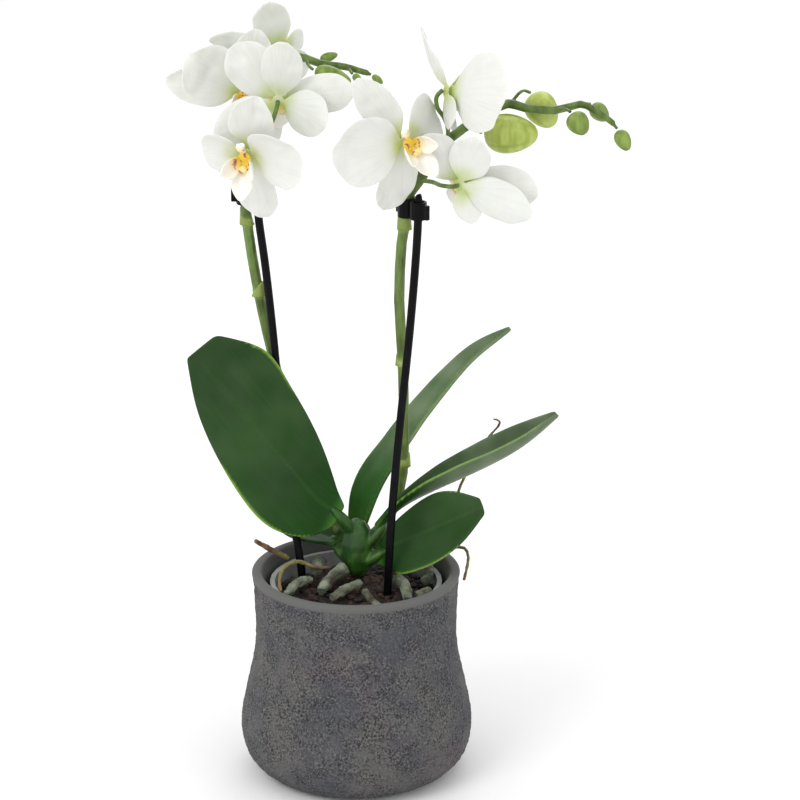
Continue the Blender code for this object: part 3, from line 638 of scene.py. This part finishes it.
def make_chips():
    chips = []
    wall = bed_high.x / MM
    for number in range(CHIPS):
        radius, angle = wall * math.sqrt(random.random()) * 0.95, random.uniform(0.0, math.tau)
        mound = bed_high.z / MM - MOUND_DROP * (radius / wall) ** 1.5
        size = random.uniform(2.2, 4.6)
        place = (radius * math.cos(angle), radius * math.sin(angle), mound + random.uniform(-2.0, 1.4))
        turn = Matrix.Rotation(random.uniform(0, math.tau), 3, "Z").to_quaternion()
        turn = turn @ Vector((random.gauss(0, 0.4), random.gauss(0, 0.4), 1)).to_track_quat("Z", "Y")
        chips.append(chip_mesh(size, np.array(place), turn, random.random() ** 1.8, number))
    bpy.ops.object.select_all(action="DESELECT")
    for chip in chips:
        chip.select_set(True)
    bpy.context.view_layer.objects.active = chips[0]
    bpy.ops.object.join()
    chips[0].name = "bark_chips"
    bpy.ops.object.transform_apply()
    return finish_piece(chips[0], BARK, "bark")


bark_chips = make_chips()
print("bark chips", len(bark_chips.data.polygons), "faces")

# %% [markdown]
# ## Roots
#
# A living root is a soft tube that swells and wrinkles. Remeshing rounds its ends over, and noise
# along its normals gives the swellings. A dry root is the same, but thinner, and crinkled less
# deeply, so its voxels are finer.

# %% The roots
def make_root_piece(name):
    dry = name.startswith("dry")
    root = remeshed_copy(name, name + "_skin", 0.35 if dry else 0.6, 3)
    points = points_of(root)
    swell = noise_at(points, 4.0 if dry else 5.0, 4, 2.0)
    height = 0.25 if dry else 0.7
    put_points(root, points + normals_of(root) * (height * swell)[:, None])
    return finish_piece(root, DRY_ROOT if dry else AIR_ROOT, "dry_root" if dry else "root", name)


for root_name in [name for name in nodes if name.startswith(("root_", "dry_"))]:
    make_root_piece(root_name)

# %% [markdown]
# ## Leaves
#
# A leaf's copy is divided into strips about a millimetre wide. Each point then needs to know how
# far it lies from the midrib and how near the margin is. The midrib's route is repeated here from
# the model, in millimetres, because a finished mesh no longer says where it ran.

# %% The midribs' routes
MIDRIBS = {
    "leaf_left": [(-8, 8, 138), (-19.5, 9, 145.5), (-34, 12, 162), (-60, 18, 192), (-84, 23, 222)],
    "leaf_back": [(-8.5, 18, 119.5), (-18, 26, 119.5), (-29, 34, 120), (-41, 42, 120.5)],
    "leaf_upright": [(2.5, 26, 120), (11, 34, 143.5), (22, 40, 161), (39, 46, 185.5), (61, 52, 210),
                     (81.5, 57, 224.5)],
    "leaf_long": [(11.5, 12.5, 127.5), (23, 11.5, 141), (44, 14, 151), (65, 19, 159), (86, 24, 169.5),
                  (106, 29.5, 185.5)],
    "leaf_low": [(11.5, 9, 115), (21, 4, 123), (41, -3, 134.5), (66, -10, 149)],
}


def smooth_route(points, steps=12):
    """Points on a smooth curve through the given points."""
    points = [Vector(point) for point in points]
    ends = [points[0] * 2 - points[1]] + points + [points[-1] * 2 - points[-2]]
    route = []
    for before, start, end, after in zip(ends, ends[1:], ends[2:], ends[3:]):
        for step in range(steps):
            t = step / steps
            route.append(0.5 * (2 * start + (end - before) * t
                                + (2 * before - 5 * start + 4 * end - after) * t ** 2
                                + (3 * start - before - 3 * end + after) * t ** 3))
    return np.array([list(point) for point in route + [points[-1]]])


# %% [markdown]
# A point belongs to the nearest place on the midrib. From that come its share of the length, its
# distance from the midrib, and that distance as a share of the half width there.

# %% Measure a leaf
def measure_leaf(points, route):
    gaps = np.linalg.norm(points[:, None, :] - route[None, :, :], axis=2)
    nearest = gaps.argmin(axis=1)
    across = gaps[np.arange(len(points)), nearest]
    along = nearest / (len(route) - 1)
    steps = np.concatenate([[0.0], np.cumsum(np.linalg.norm(np.diff(route, axis=0), axis=1))])
    widest = np.zeros(len(route))
    np.maximum.at(widest, nearest, across)
    widest = np.convolve(np.pad(widest, 2, mode="edge"), np.ones(5) / 5.0, mode="valid")
    return along, steps[nearest], across, across / np.maximum(widest[nearest], 1.0)


# %% [markdown]
# The midrib is pressed in as a shallow groove, and the blade ripples a little more towards its
# margins. Two of the leaves get a strong grey painted sheen, a painted reflection, and the rest a faint one.

# %% Make the leaves
# how strong each leaf's painted sheen is: a grey reflection painted into the colour; other leaves get 0.1
PAINTED_SHEEN_STRENGTH = {"leaf_upright": 0.75, "leaf_long": 0.6}


def make_leaf_piece(name, route_points):
    leaf = subdivided_copy(name, name + "_blade", 3)
    points = points_of(leaf)
    along, length, across, share = measure_leaf(points, smooth_route(route_points))
    groove = np.exp(-(across / 1.6) ** 2) * fade(along, 1.0, 0.9)
    upper = [face for face in nodes[name].data.polygons if face.normal.z > 0]
    way = np.array(sum((face.normal * face.area for face in upper), Vector()).normalized())
    ripple = 0.5 * noise_at(points, 26.0, 2, 5.0) * fade(share, 0.3, 1.0)
    put_points(leaf, points + way * (ripple - 0.55 * groove)[:, None])
    leave_value(leaf, "midrib", 0.75 * np.exp(-(across / 0.9) ** 2) * fade(along, 1.0, 0.85))
    leave_value(leaf, "margin", 0.8 * fade(share, 0.94, 1.0) * fade(across, 2.0, 4.0)
                * fade(along, 0.10, 0.22) * fade(along, 0.98, 0.90))
    leave_value(leaf, "base", 0.6 * fade(along, 0.14, 0.0))
    # painted sheen: a grey reflection painted into the colour, growing towards the tip
    painted_sheen_amount = PAINTED_SHEEN_STRENGTH.get(name, 0.1) * fade(along, 0.15, 0.7)
    leave_value(leaf, "painted_sheen", np.clip(painted_sheen_amount * (1.0 + 0.6 * noise_at(points, 18.0, 2, 8.0)), 0.0, 1.0))
    leave_value(leaf, "blade", np.stack([across / 1.1, length / 55.0, along * 0.0], axis=1))
    return finish_piece(leaf, YOUNG_LEAF if name == "leaf_upright" else LEAF, "leaf", name)


for leaf_name, route_points in MIDRIBS.items():
    made = make_leaf_piece(leaf_name, route_points)
    print(made.name, len(made.data.polygons), "faces")

# %% [markdown]
# ## Spikes, crown, stakes and clips
#
# A flower spike has a joint every few centimetres: a slight swelling with a pale ring. Only the
# lower, upright part of each spike shows them. Their heights are in millimetres. Remeshing is used
# because each stalk has to grow out of its spike with no seam.

# %% The spikes
JOINTS = {"spike_left": (186.0, 250.0, 291.0), "spike_right": (162.0, 222.5, 296.0)}


def make_spike(name):
    spike = remeshed_copy(name, name + "_stem", 0.55, 4)
    points = points_of(spike)
    rings = sum(np.exp(-((points[:, 2] - height) / 2.2) ** 2) for height in JOINTS[name])
    put_points(spike, points + normals_of(spike) * (0.5 * rings)[:, None])
    leave_value(spike, "pale_mark_and_shade", np.clip(0.9 * rings, 0.0, 1.0))
    return finish_piece(spike, SPIKE_SKIN, "flower_spike", name)


for spike_name in JOINTS:
    make_spike(spike_name)

# %% [markdown]
# Each joint carries a bract, a small papery scale that clasps the spike. A cone with no caps is
# added round the spike and subdivided. It is then cut low at the back and left tall in front by
# moving its points, and Solidify gives it a wall.

# %% The bracts
BRACT_LENGTH = 9.0
BRACT_FACINGS = (200, -20, 170)    # which way each joint's bract looks, in degrees, from low to high


def make_bract(name, spike_name, height, facing_degrees):
    points = points_of(bpy.data.objects[spike_name + "_stem"])
    ring = points[np.abs(points[:, 2] - height) < 1.5]
    centre = ring.mean(axis=0)
    bpy.ops.object.select_all(action="DESELECT")
    bpy.ops.mesh.primitive_cone_add(vertices=24, radius1=3.9 * MM, radius2=3.2 * MM,
                                    depth=BRACT_LENGTH * MM, end_fill_type="NOTHING")
    bract = bpy.context.object
    bract.name = name
    bpy.ops.object.mode_set(mode="EDIT")
    bpy.ops.mesh.subdivide(number_cuts=3)
    bpy.ops.object.mode_set(mode="OBJECT")
    shape = points_of(bract)
    angle = np.arctan2(shape[:, 1], shape[:, 0])
    lift = shape[:, 2] / BRACT_LENGTH + 0.5
    taper = np.cos(angle * 0.5) ** 1.5
    shape[:, 2] = BRACT_LENGTH * (lift * np.clip(taper, 0.12, 1.0) - 0.5)
    shape[:, :2] *= (1.0 + 0.12 * lift * taper)[:, None]
    turn = Matrix.Rotation(math.radians(facing_degrees), 3, "Z")
    put_points(bract, shape @ np.array(turn).T + centre + np.array([0.0, 0.0, 3.0]))
    wall = bract.modifiers.new("wall", "SOLIDIFY")
    wall.thickness = 0.35 * MM
    select_only(bract)
    bpy.ops.object.modifier_apply(modifier=wall.name)
    bpy.ops.object.shade_smooth()
    bpy.ops.object.transform_apply()
    leave_value(bract, "pale_mark_and_shade", np.full(len(bract.data.vertices), 0.45))
    return finish_piece(bract, SPIKE_SKIN, "flower_spike")


for number, (spike_name, heights) in enumerate(JOINTS.items()):
    for step, height in enumerate(heights):
        make_bract(f"{spike_name}_bract_{step + 1}", spike_name, height,
                   BRACT_FACINGS[step] + 90 * number)

# %% [markdown]
# The crown is where the leaves clasp each other. Tapered sheaths run from the stem out to each
# leaf's foot, and Voxel Remesh melts them and the stem into one grown mass.

# %% The crown
def make_crown():
    crown = clean_copy("stem", "crown")
    low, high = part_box("stem")
    core = (low + high) / 2 / MM
    joined = [crown]
    for route in MIDRIBS.values():
        foot, ahead = Vector(route[0]), (Vector(route[1]) - Vector(route[0])).normalized()
        start = Vector((core.x, core.y, max(foot.z - 13.0, low.z / MM + 4.0)))
        bpy.ops.object.select_all(action="DESELECT")
        bpy.ops.mesh.primitive_uv_sphere_add(segments=16, ring_count=12, radius=MM)
        sheath = bpy.context.object
        reach = foot + ahead * 5.0 - start
        shape = points_of(sheath) * (5.6, 3.4, reach.length / 2 + 2.0)
        turn = reach.to_track_quat("Z", "Y").to_matrix()
        put_points(sheath, shape @ np.array(turn).T + np.array(start + reach / 2))
        joined.append(sheath)
    bpy.ops.object.select_all(action="DESELECT")
    for piece in joined:
        piece.select_set(True)
    bpy.context.view_layer.objects.active = crown
    bpy.ops.object.join()
    melt(crown, 0.6, 4)
    points = points_of(crown)
    leave_value(crown, "pale_mark_and_shade", 0.4 * fade(noise_at(points, 7.0, 2, 3.0), 0.0, 0.5)
                * fade(points[:, 2], 132.0, 118.0))
    return finish_piece(crown, CROWN_SKIN, "stem", "stem")


make_crown()

# %% [markdown]
# The stakes are plain coated rods, and the clips are moulded, so both only need their edges
# rounded.

# %% The stakes and clips
for stake_name in ("stake_left", "stake_right"):
    rod = subdivided_copy(stake_name, stake_name + "_rod", 2)
    finish_piece(rod, STAKE_COATING, "stake", stake_name)
for clip_name in ("clip_left", "clip_right"):
    moulding = remeshed_copy(clip_name, clip_name + "_moulded", 0.32, 3)
    finish_piece(moulding, CLIP_PLASTIC, "clip", clip_name)

# %% [markdown]
# ## Buds
#
# A bud is three sepals closed edge to edge, so three shallow furrows run from its base to its tip.
# The long way of the imported solid gives the bud's axis, and the furrows are laid round it. The
# furrows are also coloured darker, as painted shade in the creases. The smallest buds are still a
# darker green.

# %% The buds
def make_bud(name):
    bud = subdivided_copy(name, name + "_skin", 3)
    points = points_of(bud)
    centre = points.mean(axis=0)
    axis = np.linalg.svd(points - centre, full_matrices=False)[2][0]
    side = np.cross(axis, (0.0, 0.0, 1.0))
    side /= np.linalg.norm(side)
    up = np.cross(side, axis)
    local = points - centre
    angle = np.arctan2(local @ side, local @ up)
    height = local @ axis
    half = np.abs(height).max()
    body = 1.0 - (height / half) ** 2
    furrow = np.exp(-(np.sin(1.5 * angle) / 0.16) ** 2) * np.clip(body, 0.0, 1.0)
    width = np.linalg.norm(local - np.outer(height, axis), axis=1).max()
    put_points(bud, points - normals_of(bud) * (0.07 * width * furrow)[:, None])
    # the furrows' painted shade, for the bud's colour
    leave_value(bud, "pale_mark_and_shade", np.clip(0.6 * furrow, 0.0, 1.0))
    return finish_piece(bud, BUD_SKIN if width > 6.0 else SMALL_BUD_SKIN, "bud", name)


for bud_name in [name for name in nodes if "_bud_" in name]:
    make_bud(bud_name)

# %% [markdown]
# ## Flowers
#
# Three sepals sit behind two broad petals, and the lip stands in front. Each flower has a hub at a
# place and a facing: it is turned to the right, nodded down and rolled. From these, every point of
# a copy can be given in the flower's own directions, which the veins and the green tint need.

# %% Where the flowers stand and face
FLOWERS = {
    "left_flower_1": ((-38.5, 44, 378), 195, -10, 0),
    "left_flower_2": ((-55, 14.5, 361), 8, 5, 0),
    "left_flower_3": ((-36.6, -14, 364), 175, 5, -10),
    "left_flower_4": ((-52, -29, 340.5), -20, 22, 0),
    "right_flower_1": ((25.5, -20, 344.5), 33, 5, -32),
    "right_flower_2": ((48.4, -9, 367.5), 108, 12, 10),
    "right_flower_3": ((52.8, -17, 322.7), 170, 0, -20),
}


def flower_frame(name):
    place, turn, nod, roll = FLOWERS[name]
    facing = (Matrix.Rotation(math.radians(turn), 4, "Z") @ Matrix.Rotation(math.radians(nod), 4, "X")
              @ Matrix.Rotation(math.radians(roll), 4, "Y"))
    return Matrix.Translation(place) @ facing


def in_flower(points, name):
    """The points in the flower's own directions: right, back and up from its hub."""
    back = np.array(flower_frame(name).inverted())
    return points @ back[:3, :3].T + back[:3, 3]


# %% [markdown]
# Petals and sepals are thin and never flat. Broad ruffles grow towards their edges, and low ribs
# fan out from the hub. Both move the points along the way the flower faces, so the tissue keeps its
# thickness. The same fan is left on the points for the veins.

# %% The petals and sepals
def make_tepals(flower, whorl, number):
    name = f"{flower}_{whorl}"
    piece = subdivided_copy(name, name + "_tissue", 3)
    points = points_of(piece)
    local = in_flower(points, flower)
    reach = np.linalg.norm(local, axis=1)
    angle = np.arctan2(local[:, 0], local[:, 2])
    way = np.array(flower_frame(flower).to_3x3() @ Vector((0.0, -1.0, 0.0)))
    ruffle = noise_at(points, 13.0, 2, number * 3.1) * fade(reach, 8.0, 34.0) * 1.7
    rib = 0.10 * noise_at(np.stack([np.sin(angle) * 14, np.cos(angle) * 14, reach * 0.03], axis=1), 1.0, 2)
    put_points(piece, points + way * (ruffle + rib * fade(reach, 4.0, 14.0))[:, None])
    leave_value(piece, "fan", np.stack([np.sin(angle) * 24, np.cos(angle) * 24, reach * 0.06], axis=1))
    tint = fade(reach, 15.0, 3.0) * (0.75 + 0.4 * noise_at(points, 8.0, 2, 1.0))
    leave_value(piece, "green", np.clip(tint, 0.0, 1.0))
    return finish_piece(piece, PETAL, "tepal", name)


for number, flower in enumerate(FLOWERS):
    make_tepals(flower, "sepals", number * 2)
    make_tepals(flower, "petals", number * 2 + 1)

# %% [markdown]
# The lip's copy is only rounded, because its lobes are already cupped. A callus is added in the
# throat: two fleshy bumps, which are one ball pressed in along its middle.

# %% The lips
def make_lip_piece(flower):
    name = flower + "_lip"
    lip = subdivided_copy(name, name + "_tissue", 3)
    reach = np.linalg.norm(in_flower(points_of(lip), flower), axis=1)
    leave_value(lip, "reach", reach)
    return finish_piece(lip, LIP, "lip", name)


def make_callus(flower):
    bpy.ops.object.select_all(action="DESELECT")
    bpy.ops.mesh.primitive_uv_sphere_add(segments=24, ring_count=16, radius=MM)
    callus = bpy.context.object
    callus.name = flower + "_callus"
    shape = points_of(callus) * (2.6, 2.2, 1.9)
    shape[:, 1] += 1.1 * np.exp(-(shape[:, 0] / 0.7) ** 2)
    turn = np.array(flower_frame(flower).to_3x3())
    place = flower_frame(flower) @ Vector((0.0, -7.6, -4.2))
    put_points(callus, shape @ turn.T + np.array(place))
    bpy.ops.object.shade_smooth()
    leave_value(callus, "reach", np.full(len(callus.data.vertices), 8.0))
    return finish_piece(callus, LIP, "lip")


for flower in FLOWERS:
    make_lip_piece(flower)
    make_callus(flower)

# %% [markdown]
# ## Floor, light and camera
#
# A pale floor and soft light keep white petals readable: one large key from the upper left, a
# weaker fill from the right, a third from behind to lift the edges, and an even, bright surround.

# %% The floor and the lights
bpy.ops.object.select_all(action="DESELECT")
bpy.ops.mesh.primitive_plane_add(size=8.0)
floor = bpy.context.object
floor.name = "floor"
floor_paint = new_material("matt_white_floor", {"Roughness": 0.9, "Base Color": linear("#F4F4F4")})[0]
floor.data.materials.append(floor_paint)

surround = bpy.data.worlds.new("pale_surround")
surround.use_nodes = True
surround.node_tree.nodes["Background"].inputs["Color"].default_value = linear("#FFFFFF")
surround.node_tree.nodes["Background"].inputs["Strength"].default_value = 1.0
bpy.context.scene.world = surround
bpy.context.scene.view_settings.view_transform = "Standard"


def add_softbox(name, place, size, watts):
    bpy.ops.object.light_add(type="AREA", location=place)
    light = bpy.context.object
    light.name = name
    light.data.energy = watts
    light.data.size = size
    light.rotation_euler = (Vector((0.0, 0.0, 0.2)) - Vector(place)).to_track_quat("-Z", "Y").to_euler()


add_softbox("key_softbox", (-1.1, -1.2, 1.6), 0.9, 13.0)
add_softbox("fill_softbox", (1.4, -1.0, 0.9), 1.2, 2.5)
add_softbox("back_softbox", (0.3, 1.5, 1.4), 1.0, 6.0)

# %% [markdown]
# The camera is a long lens a little above the plant, looking down at it.

# %% The camera
CAMERA_TARGET = Vector((0.023, 0.0, 0.2037))
CAMERA_DISTANCE = 1.6
CAMERA_ELEVATION = math.radians(18.5)
bpy.ops.object.camera_add()
camera = bpy.context.object
camera.data.lens = 140.4
camera.rotation_euler = (math.pi / 2 - CAMERA_ELEVATION, 0.0, 0.0)
camera.location = CAMERA_TARGET + CAMERA_DISTANCE * Vector(
    (0.0, -math.cos(CAMERA_ELEVATION), math.sin(CAMERA_ELEVATION)))
bpy.context.scene.camera = camera
